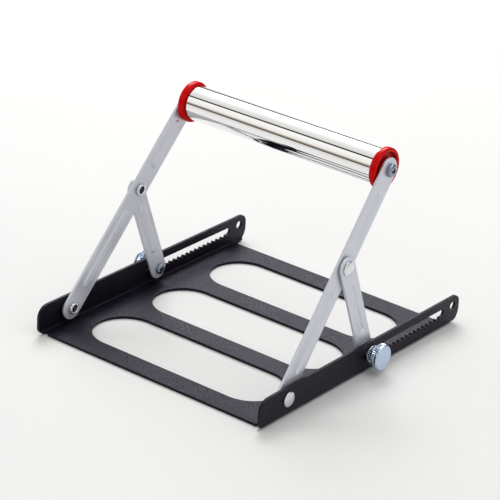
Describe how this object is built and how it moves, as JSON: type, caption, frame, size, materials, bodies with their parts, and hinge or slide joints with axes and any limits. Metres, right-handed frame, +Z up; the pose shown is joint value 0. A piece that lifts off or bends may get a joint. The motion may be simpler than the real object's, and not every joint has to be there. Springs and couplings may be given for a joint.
{
  "type": "folding roller stand",
  "caption": "Bench-top folding roller stand: slotted sheet base with toothed side slots, leaning arms, clamped struts and a free-turning capped steel roller.",
  "frame": {"origin": "centre of the stand's footprint, on the underside of the base channel", "axes": "+X along the roller, +Y from the arm pivots to the rear hanging holes, +Z up"},
  "size_m": [0.2218, 0.2312, 0.1563],
  "materials": {
    "black_coat": "fine satin powder coat",
    "grey_coat": "satin light grey coat",
    "zinc": "bright zinc plate",
    "blue_zinc": "bluish zinc plate",
    "bright_steel": "polished steel tube",
    "plain_steel": "plain drawn steel",
    "red_plastic": "glossy moulded plastic"
  },
  "bodies": {
    "base": {"base_channel": "black_coat", "left_pivot_rivet": "zinc", "left_pivot_washer": "zinc", "right_pivot_rivet": "zinc", "right_pivot_washer": "zinc"},
    "arms": {"left_arm": "grey_coat", "left_strut_rivet": "zinc", "left_strut_washer": "zinc", "left_axle_screw": "zinc", "left_thrust_washer": "zinc", "right_arm": "grey_coat", "right_strut_rivet": "zinc", "right_strut_washer": "zinc", "right_axle_screw": "zinc", "right_thrust_washer": "zinc", "axle_rod": "plain_steel"},
    "roller": {"roller_tube": "bright_steel", "left_end_cap": "red_plastic", "right_end_cap": "red_plastic"},
    "left_strut_body": {"left_strut": "grey_coat", "left_clamp_screw": "zinc"},
    "left_clamp": {"left_clamp_stud": "zinc", "left_inner_washer": "zinc", "left_outer_washer": "zinc"},
    "left_knob_body": {"left_knob": "blue_zinc"},
    "right_strut_body": {"right_strut": "grey_coat", "right_clamp_screw": "zinc"},
    "right_clamp": {"right_clamp_stud": "zinc", "right_inner_washer": "zinc", "right_outer_washer": "zinc"},
    "right_knob_body": {"right_knob": "blue_zinc"}
  },
  "joints": [
    {"name": "fold", "type": "hinge", "parent": "base", "child": "arms", "pos_m": [0, -0.0849, 0.0126], "axis": [1, 0, 0], "range_deg": [-44.2, 1.5]},
    {"name": "roller_spin", "type": "hinge", "parent": "arms", "child": "roller", "pos_m": [0, 0.0281, 0.1413], "axis": [1, 0, 0], "continuous": true},
    {"name": "left_strut_swing", "type": "hinge", "parent": "arms", "child": "left_strut_body", "pos_m": [0, -0.02072, 0.0857], "axis": [1, 0, 0], "range_deg": [-3.8, 110.6]},
    {"name": "left_clamp_slide", "type": "slide", "parent": "base", "child": "left_clamp", "axis": [0, 1, 0], "range_m": [-0.0029, 0.0823]},
    {"name": "left_knob_turn", "type": "hinge", "parent": "left_clamp", "child": "left_knob_body", "pos_m": [0, 0.0079, 0.0127], "axis": [1, 0, 0], "continuous": true},
    {"name": "right_strut_swing", "type": "hinge", "parent": "arms", "child": "right_strut_body", "pos_m": [0, -0.02072, 0.0857], "axis": [1, 0, 0], "range_deg": [-3.8, 110.6]},
    {"name": "right_clamp_slide", "type": "slide", "parent": "base", "child": "right_clamp", "axis": [0, 1, 0], "range_m": [-0.0029, 0.0823]},
    {"name": "right_knob_turn", "type": "hinge", "parent": "right_clamp", "child": "right_knob_body", "pos_m": [0, 0.0079, 0.0127], "axis": [1, 0, 0], "continuous": true}
  ],
  "couplings": [
    {"joint": "left_strut_swing", "follows": "fold", "ratio": -2.5},
    {"joint": "left_clamp_slide", "follows": "fold", "m_per_rad": -0.10655},
    {"joint": "right_strut_swing", "follows": "fold", "ratio": -2.5},
    {"joint": "right_clamp_slide", "follows": "fold", "m_per_rad": -0.10655}
  ]
}
